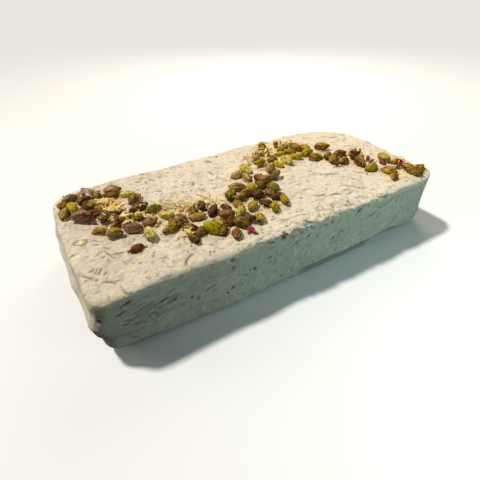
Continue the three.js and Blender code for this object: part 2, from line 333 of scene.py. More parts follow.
# The long side's, placed from its top edge: two deep crevices and many fine tears at its left end, and
# pits along the top.
for mark in (
    (-162, -9, 22, 11, 0.9, 1.8), (-130, -25, 17, 20, 1, 2.4), (-134, -21, 20, 12, 0.8, 1.6),
    (-127, -27, 14, 9, 0.7, 1.4), (-93, -30, 14, 12, 0.9, 1.8), (-160, -26, 12, 13, 0.6, 0.9),
    (-156, -31, 8, 17, 0.6, 1), (-165, -30, 20, 10, 0.6, 0.9), (-150, -36, 16, 12, 0.6, 0.9),
    (-147, -28, 24, 9, 0.6, 0.9), (-141, -34, 45, 7, 0.5, 0.8), (-154, -20, 14, 11, 0.6, 0.8),
    (-168, -17, 18, 9, 0.6, 0.8), (-110, -31, 60, 4, 0.9, 1.5), (-105, -37, 70, 5, 0.8, 1.2),
    (-71, -8, 10, 4, 1.3, 2), (-69.6, -16, -20, 4, 1.2, 1.8), (-47, -29, 0, 4, 1.3, 2),
    (-75, -43, 30, 3, 1.1, 1.6), (-184.6, -20.5, 0, 3.5, 1.2, 1.7), (40, -8, 20, 6, 1.4, 1.8),
    (76.5, -8, 38, 8, 1.2, 2), (74, -11, 38, 7, 0.9, 1.5), (98, -20, 35, 8, 0.9, 1.5),
    (106, -25, 35, 6, 0.9, 1.5), (46, -30, 60, 6, 0.9, 1.4), (22, -19, 10, 3, 1, 1.5),
    (-17, -3, 60, 11, 1.9, 3),
):
    spot_x, below, heading, *sizes = mark
    tear(front_face, spot_x * MM, TOP + below * MM, math.radians(heading), *(s * MM for s in sizes))

# Between the crevices the left part of that side is torn into short ridges, each over its own tear.
for _ in range(RIDGES):
    spot_x, below = rng.normal(-136, 15), rng.normal(27, 8)
    turn = math.radians(rng.normal(24, 14))
    length, size = rng.uniform(4, 14) * MM, rng.uniform(0.45, 0.85) * MM
    height_up = TOP - below * MM
    tear(front_face, spot_x * MM, height_up, turn, length, size, 1.7 * size, rng.uniform(0.1, 0.7))
    flake(
        front_face, spot_x * MM, height_up + 2 * size, turn + math.pi, 1.2 * length, 0.1,
        rng.uniform(0.6, 1.3) * MM, rng.uniform(1.2, 2.5) * MM, 0.2,
    )

# Thin raised veins, painted pale along their ridges as painted highlights, and a few short tears cross the
# rest of it, mostly rising to the right. Just under the rim it is pitted.
for _ in range(VEINS):
    spot_x, below = rng.uniform(-100, 190), rng.uniform(8, 60)
    turn = math.radians(rng.normal(52, 26))
    vein(
        front_face, spot_x * MM, TOP - below * MM, turn, rng.uniform(3, 10) * MM,
        rng.uniform(0.35, 0.5) * MM, rng.uniform(0.12, 0.4) * MM,
    )
for _ in range(SHORT_TEARS):
    spot_x, below = rng.uniform(-90, 190), rng.uniform(10, 58)
    turn = math.radians(rng.normal(45, 18))
    width = rng.uniform(0.45, 0.9) * MM
    tear(
        front_face, spot_x * MM, TOP - below * MM, turn, rng.uniform(2, 8) * MM, width,
        1.5 * width, rng.uniform(0.4, 1),
    )
for _ in range(RIM_PITS):
    spot_x, below = rng.uniform(-60, 120), 4 + rng.exponential(4)
    turn = math.radians(rng.normal(30, 30))
    width = rng.uniform(0.7, 1.3) * MM
    tear(
        front_face, spot_x * MM, TOP - below * MM, turn, rng.uniform(2, 6) * MM, width,
        1.5 * width, rng.uniform(0.3, 1),
    )
fine = (0.4 + 0.6 * skyward) * (1 + 0.8 * slope(-x, -20 * MM, 60 * MM))
height += 0.1 * MM * fine * lumps(places, 3.5 * MM, 9, 2)
height += 0.3 * MM * lumps(places, 16 * MM, 15, 3) * (frontward + backward)

# The rim is rounded: smooth round the left end, lumpy along the middle of the front, and drawn out to a
# thin edge at the right. Along the front its edge is painted pale as a painted highlight, most at the
# right.
rim = bell(normals[:, 2], 0.6, 0.3) * slope(z, TOP - 12 * MM, TOP - 5 * MM)
front_rim = slope(-y, 20 * MM, 60 * MM)
sharper = slope(x, 90 * MM, 125 * MM)
crumbly = slope(x, -75 * MM, -25 * MM) * (1 - slope(x, 110 * MM, 140 * MM)) * front_rim
height += rim * front_rim * (0.3 + sharper) * MM
height += rim * crumbly * 1.7 * MM * lumps(places, 6 * MM, 12, 3)
rough = slope(-y, 62 * MM, 80 * MM) * crumbly * slope(normals[:, 2], 0.2, 0.6)
crumbs = np.abs(lumps(places, 8 * MM, 13, 2))
height += rough * (3 * MM * np.minimum(crumbs, 0.5) - 0.4 * MM)
# The valleys between the rim's lumps are painted dark, as painted shade.
painted_crease_shade += 0.22 * rough * bell(crumbs, 0, 0.05)
edge_highlight = bell(normals[:, 2], 0.35, 0.25) * slope(z, TOP - 8 * MM, TOP - 4 * MM) * front_rim
painted_highlight = np.maximum(painted_highlight, edge_highlight * (0.35 + 0.65 * sharper))

# Along the foot of the long side runs a shallow ledge, where the block overhung its paper.
ledge = frontward * slope(x, 0, 15 * MM) * (1 - slope(x, 140 * MM, 155 * MM))
foot = ledge * (1 - slope(z, 9 * MM, 11.5 * MM))
height -= foot * 2 * MM
# The sunken band is painted darker, as painted shade.
painted_crease_shade += 0.5 * foot

# The foot of the left front corner sagged outwards while the block was warm, below a dent.
corner = slope(-x, 150 * MM, 180 * MM) * slope(-y, 40 * MM, 75 * MM)
height -= 1.6 * MM * corner * bell(z, 21 * MM, 4 * MM)
places += normals * (height * slope(z, 0.5 * MM, 5 * MM))[:, None]
sagged = corner * (1 - slope(z, 7 * MM, 18 * MM)) * 3 * MM
places[:, :2] -= sagged[:, None]
places[:, :2] = np.clip(places[:, :2], slab_low[:2] + INSET, slab_high[:2] - INSET)
places[places[:, 2] < 0.4 * MM, 2] = 0
write(nougat.data, places)
paint(nougat.data, "painted_crease_shade", np.clip(painted_crease_shade, 0, 1))
paint(nougat.data, "wall", 1 - slope(normals[:, 2], -0.1, 0.7))
# The starchy skin is lilac and greyer, in patches and more towards the left end, where its greyer colour is
# also painted shade.
starch_and_shade = lumps(places, 12 * MM, 14, 4) - 1.1 * slope(x, -150 * MM, -30 * MM) + 0.4
paint(nougat.data, "starch_and_shade", slope(starch_and_shade, -0.6, 0.6))
paint(nougat.data, "painted_highlight", painted_highlight)

# The flat underside becomes one face, and the back and the right end keep less detail than the rest.
select_faces(nougat, lambda face: face.center.z < 0.2 * MM and face.normal.z < -0.9)
bpy.ops.mesh.dissolve_faces()
bpy.ops.mesh.quads_convert_to_tris()
select_faces(nougat, lambda face: max(face.normal.y, face.normal.x) > 0.7)
bpy.ops.mesh.decimate(ratio=0.45)
bpy.ops.object.mode_set(mode="OBJECT")
triangles = sum(len(face.vertices) - 2 for face in nougat.data.polygons)
finish_with(nougat, "DECIMATE", ratio=min(1, SLAB_TRIANGLES / triangles))
shade_smooth(nougat)


def linear(colour):
    """An sRGB hex colour as the linear numbers that a shader takes."""
    shares = [int(colour[i : i + 2], 16) / 255 for i in (1, 3, 5)]
    return [s / 12.92 if s <= 0.04045 else ((s + 0.055) / 1.055) ** 2.4 for s in shares] + [1]


def new_material(name):
    material = bpy.data.materials.new(name)
    material.use_nodes = True
    material.node_tree.nodes.clear()
    return material


def add(material, kind, values=(), links=(), **settings):
    """Adds a node of this kind, with settings, socket values and links from (node, socket) pairs."""
    node = material.node_tree.nodes.new(kind)
    for setting, value in settings.items():
        setattr(node, setting, value)
    for socket, value in dict(values).items():
        node.inputs[socket].default_value = value
    for socket, (source, output) in dict(links).items():
        material.node_tree.links.new(source.outputs[output], node.inputs[socket])
    return node


# Whipped nougat, hand pressed: matt, dense and slightly clear to light. It is cream, and faintly lilac
# where the starchy skin stays on, yellower where the skin has torn, and greyer down the walls. The greyer
# walls, and the greyer starchy skin towards the left end, are partly painted shade.
nougat_skin = new_material("whipped_nougat_hand_pressed")
here = add(nougat_skin, "ShaderNodeTexCoord")
starch_and_shade = add(nougat_skin, "ShaderNodeAttribute", attribute_name="starch_and_shade")
body_colour = add(
    nougat_skin, "ShaderNodeMix", {"A": linear("#EBE2D5"), "B": linear("#DCD2C7")},
    {"Factor": (starch_and_shade, "Fac")}, data_type="RGBA",
)
# Where the starchy skin has torn away, in patches of a centimetre or so, the nougat is yellower.
torn_noise = add(
    nougat_skin, "ShaderNodeTexNoise", {"Scale": 1 / (13 * MM), "Detail": 4, "Roughness": 0.6},
    {"Vector": (here, "Object")},
)
torn_range = add(
    nougat_skin, "ShaderNodeMapRange", {"From Min": 0.5, "From Max": 0.66, "To Max": 0.6},
    {"Value": (torn_noise, "Fac")},
)
torn = add(
    nougat_skin, "ShaderNodeMix", {"B": linear("#E7DDB6")},
    {"Factor": (torn_range, "Result"), "A": (body_colour, "Result")}, data_type="RGBA",
)
stain = add(nougat_skin, "ShaderNodeAttribute", attribute_name="stain")
stained = add(
    nougat_skin, "ShaderNodeMix", {"B": linear("#F3D9A2")},
    {"Factor": (stain, "Fac"), "A": (torn, "Result")}, data_type="RGBA",
)
# The walls are greyer, partly as painted shade, with painted highlights along their veins and the rim's
# edge, and all its creases are painted dark as painted shade.
wall = add(nougat_skin, "ShaderNodeAttribute", attribute_name="wall")
painted_highlight = add(nougat_skin, "ShaderNodeAttribute", attribute_name="painted_highlight")
shaded_wall_colour = add(
    nougat_skin, "ShaderNodeMix", {"A": linear("#D0CFC4"), "B": linear("#FBFCF0")},
    {"Factor": (painted_highlight, "Fac")}, data_type="RGBA",
)
walled = add(
    nougat_skin, "ShaderNodeMix",
    links={"Factor": (wall, "Fac"), "A": (stained, "Result"), "B": (shaded_wall_colour, "Result")},
    data_type="RGBA",
)
crease_shade_colour = add(
    nougat_skin, "ShaderNodeMix", {"A": linear("#75684E"), "B": linear("#363A32")},
    {"Factor": (wall, "Fac")}, data_type="RGBA",
)
creased = add(nougat_skin, "ShaderNodeAttribute", attribute_name="painted_crease_shade")
coloured = add(
    nougat_skin, "ShaderNodeMix",
    links={"Factor": (creased, "Fac"), "A": (walled, "Result"), "B": (crease_shade_colour, "Result")},
    data_type="RGBA",
)
# Small dark specks show all over, and the broken outlines of flakes too thin to model are painted dark all
# over as painted shade.
speck_noise = add(
    nougat_skin, "ShaderNodeTexNoise", {"Scale": 1 / (2 * MM), "Detail": 3, "Roughness": 0.7},
    {"Vector": (here, "Object")},
)
speck_range = add(
    nougat_skin, "ShaderNodeMapRange", {"From Min": 0.58, "From Max": 0.7, "To Max": 0.3},
    {"Value": (speck_noise, "Fac")},
)
edge_noise = add(
    nougat_skin, "ShaderNodeTexNoise", {"Scale": 1 / (11 * MM), "Detail": 4, "Roughness": 0.6},
    {"Vector": (here, "Object")},
)
edge_distance = add(
    nougat_skin, "ShaderNodeMath", {1: 0.5, 2: 0.008}, {0: (edge_noise, "Fac")}, operation="COMPARE"
)
break_noise = add(
    nougat_skin, "ShaderNodeTexNoise", {"Scale": 1 / (6 * MM), "Detail": 1}, {"Vector": (here, "Object")}
)
break_range = add(
    nougat_skin, "ShaderNodeMapRange", {"From Min": 0.5, "From Max": 0.58, "To Max": 0.55},
    {"Value": (break_noise, "Fac")},
)
flake_edge_shade = add(
    nougat_skin, "ShaderNodeMath", links={0: (edge_distance, "Value"), 1: (break_range, "Result")},
    operation="MULTIPLY",
)
marks = add(
    nougat_skin, "ShaderNodeMath", links={0: (flake_edge_shade, "Value"), 1: (speck_range, "Result")},
    operation="MAXIMUM",
)
specked = add(
    nougat_skin, "ShaderNodeMix",
    links={"Factor": (marks, "Value"), "A": (coloured, "Result"), "B": (crease_shade_colour, "Result")},
    data_type="RGBA",
)
# Its fine grain is rougher on the top than down the walls.
grain = add(
    nougat_skin, "ShaderNodeTexNoise",
    {"Scale": 1 / (5 * MM), "Detail": 6, "Roughness": 0.75, "Distortion": 0.6},
    {"Vector": (here, "Object")},
)
smoother_wall = add(
    nougat_skin, "ShaderNodeMath", {1: -0.6, 2: 1}, {0: (wall, "Fac")}, operation="MULTIPLY_ADD"
)
relief = add(
    nougat_skin, "ShaderNodeMath", links={0: (grain, "Fac"), 1: (smoother_wall, "Value")},
    operation="MULTIPLY",
)
rough_skin = add(
    nougat_skin, "ShaderNodeBump", {"Strength": 0.9, "Distance": 2 * MM}, {"Height": (relief, "Value")}
)
nougat_shader = add(
    nougat_skin, "ShaderNodeBsdfPrincipled",
    {"Roughness": 0.7, "Subsurface Weight": 0.12, "Subsurface Radius": (3, 2, 1.2),
     "Subsurface Scale": 1 * MM},
    {"Base Color": (specked, "Result"), "Normal": (rough_skin, "Normal")},
)
add(nougat_skin, "ShaderNodeOutputMaterial", links={"Surface": (nougat_shader, "BSDF")})
nougat.data.materials.clear()
nougat.data.materials.append(nougat_skin)
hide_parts("nougat_slab")
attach(nougat, "root")


# The pistachio kernels are shelled and whole, pointed at one end, with a seam along one side. Most keep
# their papery mauve-brown skin, and the flesh shows olive, amber or bright green where it has rubbed off.
KERNEL_SIZE = Vector((17, 9.8, 8.8)) * MM
KERNEL_SIDES = 16
KERNEL_RINGS = 12
CEILING = cad_box[1][2] - 0.3 * MM
MAROON_FROM = 100 * MM
CAGE_RINGS = 6
CAGE_SIDES = 8
CAGE_REACH = 0.41

# A late kernel is tried at so many places that still have nougat a little further from the middle. It is
# first sunk, then lifted step by step until it is clear of every neighbour.
TRIES = 40
ROOM_TO_RIM = 1.02
NEIGHBOUR = 20 * MM
SUNK = 1.6 * MM
LIFT = 0.6 * MM
LIFTS = 14

# Where the late kernels go: each heap's middle and spread, in millimetres, and how many it takes.
HEAPS = (
    (-165, 68, 2, 1), (-137, -43, 1, 1), (-178, 54, 3, 1), (-180, 40, 2, 1), (-166, 38, 4, 1),
    (-147, 45, 3, 1), (-128, 60, 4, 2), (-113, 33, 2, 1), (-157, 27, 3, 1), (-107, -36, 3, 1),
    (-94, -27, 4, 2), (-69, -14, 3, 1), (-91, -56, 2, 1), (-80, -49, 3, 1), (-64, -58, 3, 1),
    (-49, -55, 4, 1), (-57, -72, 2, 1), (-38, -57, 4, 2), (-27, -57, 3, 1), (-48, -40, 5, 2),
    (-30, -21, 5, 2), (-2, -23, 4, 2), (-3, -44, 4, 2), (15, -35, 4, 1), (18, 1, 5, 2),
    (16, -17, 4, 2), (38, 16, 3, 1), (42, 51, 3, 1), (59, 69, 3, 1), (84, 45, 5, 1),
    (-62, -12, 2, 1), (-116, -14, 2, 1), (112, 7, 2, 1), (-2, 18, 2, 1),
    (129, 2, 3, 1), (163, -31, 2, 1), (171, -42, 2, 1), (144, -67, 3, 1), (166, -76, 3, 1),
    (174, -76, 4, 1),
)


def select_where(piece, test):
    """Selects only the vertices that pass a test, in edit mode."""
    bpy.ops.object.mode_set(mode="EDIT")
    bpy.ops.mesh.select_mode(type="VERT")
    bpy.ops.mesh.select_all(action="DESELECT")
    bpy.ops.object.mode_set(mode="OBJECT")
    for vertex in piece.data.vertices:
        vertex.select = test(vertex.co)
    bpy.ops.object.mode_set(mode="EDIT")


def shape_kernel(name, pointed, hook, seam_depth, flat, dent, wrinkle, seed):
    """One kernel along X, pointed at +X, with its seam on top, and one unit long, wide and high.

    The hook bends both ends down, flat is how far down its belly lies, and dents and wrinkles run over it.
    """
    bpy.ops.object.select_all(action="DESELECT")
    bpy.ops.mesh.primitive_uv_sphere_add(segments=KERNEL_SIDES, ring_count=KERNEL_RINGS, radius=1)
    kernel = bpy.context.object
    kernel.name = name
    kernel.data.transform(Matrix.Rotation(math.pi / 2, 4, "Y"))
    for step in range(KERNEL_RINGS - 1):
        ring_x = math.cos(math.pi * (step + 1) / KERNEL_RINGS)
        narrowing = pointed if ring_x > 0 else 0.45 * pointed
        girth = 1.05 - 0.16 * ring_x - narrowing * ring_x**2
        select_where(kernel, lambda co: abs(co.x - ring_x) < 0.01)
        bpy.ops.transform.resize(value=(1, girth, girth), center_override=(ring_x, 0, 0))
        bpy.ops.transform.translate(value=(0, 0, -hook * ring_x**2))
    select_where(kernel, lambda co: co.x > 0.99)
    bpy.ops.transform.translate(value=(0.06, 0, -hook * 1.4))
    select_where(kernel, lambda co: abs(co.y) < 0.02 and co.z > 0 and co.x < 0.9)
    bpy.ops.transform.resize(value=(1, 1 - seam_depth, 1 - seam_depth), center_override=(0, 0, 0))
    select_where(kernel, lambda co: co.z < -flat)
    bpy.ops.transform.resize(value=(1, 1, 0.35), center_override=(0, 0, -flat))
    bpy.ops.object.mode_set(mode="OBJECT")
    finish_with(kernel, "SUBSURF", levels=1, render_levels=1)
    shape = read(kernel.data)
    shape *= (1 + dent * lumps(shape, 0.9, seed, 1))[:, None]
    shape *= (1 + wrinkle * lumps(shape * (0.3, 1, 1), 0.33, seed, 2))[:, None]
    low, high = shape.min(0), shape.max(0)
    shape = (shape - (low + high) / 2) / (high - low)
    write(kernel.data, shape)
    paint(kernel.data, "seam", bell(shape[:, 1], 0, 0.05) * slope(shape[:, 2], 0, 0.2))
    # The ends are painted dark, as painted shade where they round away from the light.
    paint(kernel.data, "tip", slope(shape[:, 0], 0.36, 0.5) + 0.5 * slope(-shape[:, 0], 0.4, 0.5))
    shade_smooth(kernel)
    return kernel


kernel_bases = [
    shape_kernel("plump_kernel", 0.15, 0.06, 0.12, 1.1, 0.12, 0.1, 1),
    shape_kernel("curved_kernel", 0.3, 0.2, -0.1, 0.8, 0.14, 0.11, 2),
    shape_kernel("shrivelled_kernel", 0.22, 0.12, 0.22, 0.6, 0.24, 0.18, 3),
    shape_kernel("flat_kernel", 0.35, 0.03, -0.08, 0.4, 0.14, 0.1, 4),
    shape_kernel("ridged_kernel", 0.1, 0.15, -0.16, 0.9, 0.16, 0.16, 5),
    shape_kernel("pinched_kernel", 0.4, -0.1, 0.16, 0.6, 0.2, 0.13, 6),
]


def pose_of(node):
    """A kernel node's middle, its own axes, pointed end first, and how far it reaches along each."""
    corners = np.unique(np.round(read(node.data), 7), axis=0)
    middle = corners.mean(0)
    axes = np.linalg.svd(corners - middle)[2]
    along = (corners - middle) @ axes[0]
    girth = np.linalg.norm((corners - middle) - np.outer(along, axes[0]), axis=1)
    if girth[along > 0].mean() > girth[along < 0].mean():
        axes[0] = -axes[0]
    axes[2] = np.cross(axes[0], axes[1])
    spans = (corners - middle) @ axes.T
    middle = middle + ((spans.max(0) + spans.min(0)) / 2) @ axes
    return middle, axes, np.ptp(spans, axis=0)


def golden(middle):
    """Towards the back, where the trail crosses over, the kernels are barer and more golden: 0 to 1."""
    x, y = middle[:2] / MM
    return slope(y, 5, 40) * slope(x, -20, 20) * (1 - slope(x, 100, 130))


def own_copy(base):
    """A copy of a piece, with a mesh of its own."""
    copy = base.copy()
    copy.data = base.data.copy()
    bpy.context.scene.collection.objects.link(copy)
    return copy


def kernel_copy(base, group, middle, axes, spans, roll):
    """Copies a base kernel into a pose, with its own grain and tone."""
    kernel = own_copy(base)
    kernel.name = group
    shape = read(kernel.data)
    grown = kernel.data.attributes.new("grown", "FLOAT_VECTOR", "POINT")
    own_grain = shape * KERNEL_SIZE + rng.uniform(-1, 1, 3)
    grown.data.foreach_set("vector", own_grain.astype(np.float32).ravel())
    rubbed = rng.uniform() + 0.4 * golden(middle)
    paint(kernel.data, "rubbed", np.full(len(shape), rubbed))
    right_end = slope(middle[0], 120 * MM, 140 * MM)
    corner = slope(middle[0], 156 * MM, 164 * MM) * slope(-middle[1], 68 * MM, 74 * MM)
    left_end = slope(-middle[0], 80 * MM, 110 * MM)
    shade = rng.uniform(0.34, 1.36) + 0.42 * golden(middle) + 0.2 * (left_end + right_end)
    shade -= 0.5 * corner
    brightest = {"kernels_maroon": 1.1, "kernels_amber": 1.24}.get(group, 1.4)
    shade = min(max(shade, 0.24), brightest)
    paint(kernel.data, "shade", np.full(len(shape), shade))
    turned = shape.copy()
    turned[:, 1] = math.cos(roll) * shape[:, 1] - math.sin(roll) * shape[:, 2]
    turned[:, 2] = math.sin(roll) * shape[:, 1] + math.cos(roll) * shape[:, 2]
    turned /= np.ptp(turned, axis=0)
    placed = (turned * spans) @ axes + middle
    placed[:, 2] -= max(0, placed[:, 2].max() - CEILING)
    write(kernel.data, placed)
    return kernel


def cage_of(middle, axes, spans):
    """A rough egg round a kernel, a little smaller than it, to test whether two kernels touch."""
    corners, faces = [], []
    for ring in range(CAGE_RINGS + 1):
        for side in range(CAGE_SIDES):
            slant, turn = math.pi * ring / CAGE_RINGS, 2 * math.pi * side / CAGE_SIDES
            spot = (math.cos(slant), math.sin(slant) * math.cos(turn), math.sin(slant) * math.sin(turn))
            corners.append((np.array(spot) * spans * CAGE_REACH) @ axes + middle)
            if ring < CAGE_RINGS:
                here = ring * CAGE_SIDES + side
                after = ring * CAGE_SIDES + (side + 1) % CAGE_SIDES
                faces.append((here, after, after + CAGE_SIDES, here + CAGE_SIDES))
    return BVHTree.FromPolygons([Vector(c) for c in corners], faces)


def ground(tree, spot_x, spot_y):
    """How high the highest surface of a tree lies at a place, or None beside it."""
    hit = tree.ray_cast(Vector((spot_x, spot_y, 2 * CEILING)), Vector((0, 0, -1)))[0]
    return hit.z if hit else None


def tree_of(mesh):
    """A mesh's faces in the form that rays and other trees can be tested against."""
    return BVHTree.FromPolygons([v.co for v in mesh.vertices], [p.vertices for p in mesh.polygons])


slab_tree = tree_of(frame["nodes"]["nougat_slab"].data)
group_of_slot = {
    "pistachio_brown_skin": "kernels_mauve",
    "pistachio_olive_skin": "kernels_olive",
    "pistachio_green": "kernels_green",
}
kernel_groups = ("kernels_mauve", "kernels_maroon", "kernels_olive", "kernels_amber", "kernels_green")
groups = {name: [] for name in kernel_groups}
covered = {name: [] for name in kernel_groups}
laid = []
rng = np.random.default_rng(21)
for part in frame["record"]["subparts"]:
    if not part["node"].startswith("kernel"):
        continue
    group = group_of_slot[part["material_slot"]]
    middle, axes, spans = pose_of(frame["nodes"][part["node"]])
    if rng.uniform() < 0.3 * (group == "kernels_olive") + 0.45 * golden(middle):
        group = "kernels_amber"
    if group in ("kernels_mauve", "kernels_amber") and middle[0] > MAROON_FROM:
        group = "kernels_maroon"
    base = kernel_bases[rng.integers(len(kernel_bases))]
    groups[group].append(
        kernel_copy(base, group, middle, axes, spans * (1.08, 0.99, 1), rng.uniform(0, 2 * math.pi))
    )
    covered[group].append(part["node"])
    laid.append((middle, cage_of(middle, axes, spans)))

# Every kernel that the solid model has lies now. The late ones drop into the gaps of its heaps, or lean
# on the others: each is tried at many random places and lifted until it is clear, and the place where it
# sits lowest and closest is kept.
late_groups = ("kernels_mauve", "kernels_mauve", "kernels_olive", "kernels_mauve", "kernels_amber")


def lie_in(heap_x, heap_y, spread):
    """The best of many random ways for one more kernel to lie in a heap, or None if there is no room."""
    best = None
    for _ in range(TRIES):
        spot = np.array((heap_x, heap_y)) * MM + rng.normal(0, spread * MM / 1.5, 2)
        under, outside = ground(slab_tree, *spot), ground(slab_tree, *(spot * ROOM_TO_RIM))
        if under is None or outside is None or min(under, outside) < TOP - 2 * MM:
            continue
        close = [(other, tree) for other, tree in laid if math.dist(other[:2], spot) < NEIGHBOUR]
        spans = np.array(KERNEL_SIZE * rng.uniform(0.86, 1.12) * (1 if close else 1.2))
        turned = (
            Matrix.Rotation(rng.uniform(0, 2 * math.pi), 3, "Z")
            @ Matrix.Rotation(rng.normal(0, 0.2), 3, "Y")
            @ Matrix.Rotation(rng.normal(0, 0.2), 3, "X")
        )
        axes = np.array(turned.transposed())
        for step in range(LIFTS):
            rise = spans[2] / 2 + LIFT * step - SUNK
            middle = np.array((*spot, under + rise))
            cage = cage_of(middle, axes, spans)
            if not any(cage.overlap(tree) for _, tree in close):
                break
        fit = step - 0.3 * len(close)
        reach = spans / 2 @ np.abs(axes)
        inside = np.all(middle - reach > slab_low) and np.all((middle + reach)[:2] < slab_high[:2])
        if inside and middle[2] + reach[2] < CEILING and (best is None or fit < best[0]):
            best = (fit, middle, axes, spans, cage, not close)
    return best


for heap_x, heap_y, spread, count in HEAPS:
    for _ in range(count):
        best = lie_in(heap_x, heap_y, spread)
        if best is None:
            continue
        _, middle, axes, spans, cage, alone = best
        laid.append((middle, cage))
        group = late_groups[len(laid) % len(late_groups)]
        if alone or (group == "kernels_amber" and golden(middle) < 0.5):
            group = "kernels_olive"
        if group == "kernels_mauve" and middle[0] > MAROON_FROM:
            group = "kernels_maroon"
        base = kernel_bases[rng.integers(len(kernel_bases))]
        roll = rng.uniform(0, 2 * math.pi)
        groups[group].append(kernel_copy(base, group, middle, axes, spans, roll))

# One more is pressed in almost flush near the left end, with a ring of nougat round it.
flush_spans = np.array((8.5, 6.5, 5)) * MM
flush_axes = np.array(Matrix.Rotation(FLUSH_HEADING, 3, "Z").transposed())
flush_height = ground(slab_tree, *FLUSH_KERNEL) - flush_spans[2] / 2 + 1.5 * MM
flush = kernel_copy(
    kernel_bases[0], "flush_kernel", np.array((*FLUSH_KERNEL, flush_height)), flush_axes,
    flush_spans, math.pi,
)
for base in kernel_bases:
    bpy.data.objects.remove(base)


# Pistachio kernel with its dried skin: papery and satin, streaked along its length, with the flesh showing
# through it in patches, a paler seam, and ends painted dark as painted shade.
def kernel_skin(name, flesh, skin, bare):
    """The skin over flesh of this colour; bare is the share of the flesh that shows."""
    material = new_material(name)
    grown = add(material, "ShaderNodeAttribute", attribute_name="grown")
    along = add(
        material, "ShaderNodeMapping", {"Scale": (0.3, 1, 1)}, {"Vector": (grown, "Vector")}
    )
    streaks = add(
        material, "ShaderNodeTexNoise",
        {"Scale": 1 / (2.2 * MM), "Detail": 4, "Roughness": 0.65}, {"Vector": (along, "Vector")},
    )
    rubbed = add(
        material, "ShaderNodeTexNoise", {"Scale": 1 / (9 * MM), "Detail": 2}, {"Vector": (grown, "Vector")}
    )
    both = add(
        material, "ShaderNodeMath", {1: 0.5},
        {0: (rubbed, "Fac"), 2: (streaks, "Fac")}, operation="MULTIPLY_ADD",
    )
    own = add(material, "ShaderNodeAttribute", attribute_name="rubbed")
    uneven = add(
        material, "ShaderNodeMath", {1: 0.3}, {0: (own, "Fac"), 2: (both, "Value")},
        operation="MULTIPLY_ADD",
    )
    edge = 1.04 - 0.3 * bare
    covered_share = add(
        material, "ShaderNodeMapRange", {"From Min": edge - 0.035, "From Max": edge + 0.035},
        {"Value": (uneven, "Value")},
    )
    flesh_and_skin = add(
        material, "ShaderNodeMix", {"A": linear(skin), "B": linear(flesh)},
        {"Factor": (covered_share, "Result")}, data_type="RGBA",
    )
    fine = add(
        material, "ShaderNodeTexNoise", {"Scale": 1 / (1.3 * MM), "Detail": 3, "Roughness": 0.7},
        {"Vector": (along, "Vector")},
    )
    veins = add(
        material, "ShaderNodeMapRange", {"From Min": 0.46, "From Max": 0.62, "To Max": 0.68},
        {"Value": (fine, "Fac")},
    )
    veined = add(
        material, "ShaderNodeMix", {"B": linear("#2C1000")},
        {"Factor": (veins, "Result"), "A": (flesh_and_skin, "Result")}, data_type="RGBA",
    )
    tip = add(material, "ShaderNodeAttribute", attribute_name="tip")
    tipped = add(
        material, "ShaderNodeMix", {"B": linear("#42270E")},
        {"Factor": (tip, "Fac"), "A": (veined, "Result")}, data_type="RGBA",
    )
    seam = add(material, "ShaderNodeAttribute", attribute_name="seam")
    seamed = add(
        material, "ShaderNodeMix", {"B": linear("#B79B56")},
        {"Factor": (seam, "Fac"), "A": (tipped, "Result")}, data_type="RGBA",
    )
    # Each kernel's own tone: the darker it is, the redder and richer its skin.
    shade = add(material, "ShaderNodeAttribute", attribute_name="shade")
    depth = add(
        material, "ShaderNodeMath", {1: -0.4, 2: 1.68}, {0: (shade, "Fac")}, operation="MULTIPLY_ADD"
    )
    deepened = add(
        material, "ShaderNodeGamma", links={"Color": (seamed, "Result"), "Gamma": (depth, "Value")}
    )
    lightness = add(
        material, "ShaderNodeMath", {1: 0.74, 2: 0.51}, {0: (shade, "Fac")}, operation="MULTIPLY_ADD"
    )
    richness = add(
        material, "ShaderNodeMath", {1: -0.65, 2: 1.76}, {0: (shade, "Fac")}, operation="MULTIPLY_ADD"
    )
    shaded = add(
        material, "ShaderNodeHueSaturation",
        links={
            "Saturation": (richness, "Value"), "Value": (lightness, "Value"),
            "Color": (deepened, "Color"),
        },
    )
    wrinkled = add(
        material, "ShaderNodeBump", {"Strength": 0.7, "Distance": 0.45 * MM}, {"Height": (fine, "Fac")}
    )
    shader = add(
        material, "ShaderNodeBsdfPrincipled",
        {"Roughness": 0.5, "Specular IOR Level": 0.24, "Coat Weight": 0.03, "Coat Roughness": 0.3},
        {"Base Color": (shaded, "Color"), "Normal": (wrinkled, "Normal")},
    )
    add(material, "ShaderNodeOutputMaterial", links={"Surface": (shader, "BSDF")})
    return material


def join(name, pieces):
    """Joins like pieces into one object with its origin at the frame's."""
    bpy.ops.object.select_all(action="DESELECT")
    for piece in pieces:
        piece.select_set(True)
    bpy.context.view_layer.objects.active = pieces[0]
    bpy.ops.object.join()
    joined = bpy.context.object
    joined.name = name
    return joined


kernel_trees = []
for name, slot, skin_name, flesh, skin, bare in (
    ("kernels_mauve", "pistachio_brown_skin", "dried_mauve_skin", "#AC9238", "#8A6446", 0.42),
    ("kernels_maroon", "pistachio_brown_skin", "dried_maroon_skin", "#C6AA4A", "#8A5A42", 0.66),
    ("kernels_olive", "pistachio_olive_skin", "rubbed_olive_skin", "#B0982E", "#7A5A3A", 0.65),
    ("kernels_amber", "pistachio_olive_skin", "amber_skin", "#CAB44C", "#8A683A", 0.74),
    ("kernels_green", "pistachio_green", "bright_green_skin", "#BDB32E", "#76622F", 0.82),
):
    group = join(name, groups[name])
    group.data.materials.clear()
    group.data.materials.append(kernel_skin(skin_name, flesh, skin, bare))
    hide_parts(*covered[name])
    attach(group, "root")
    kernel_trees.append(tree_of(group.data))


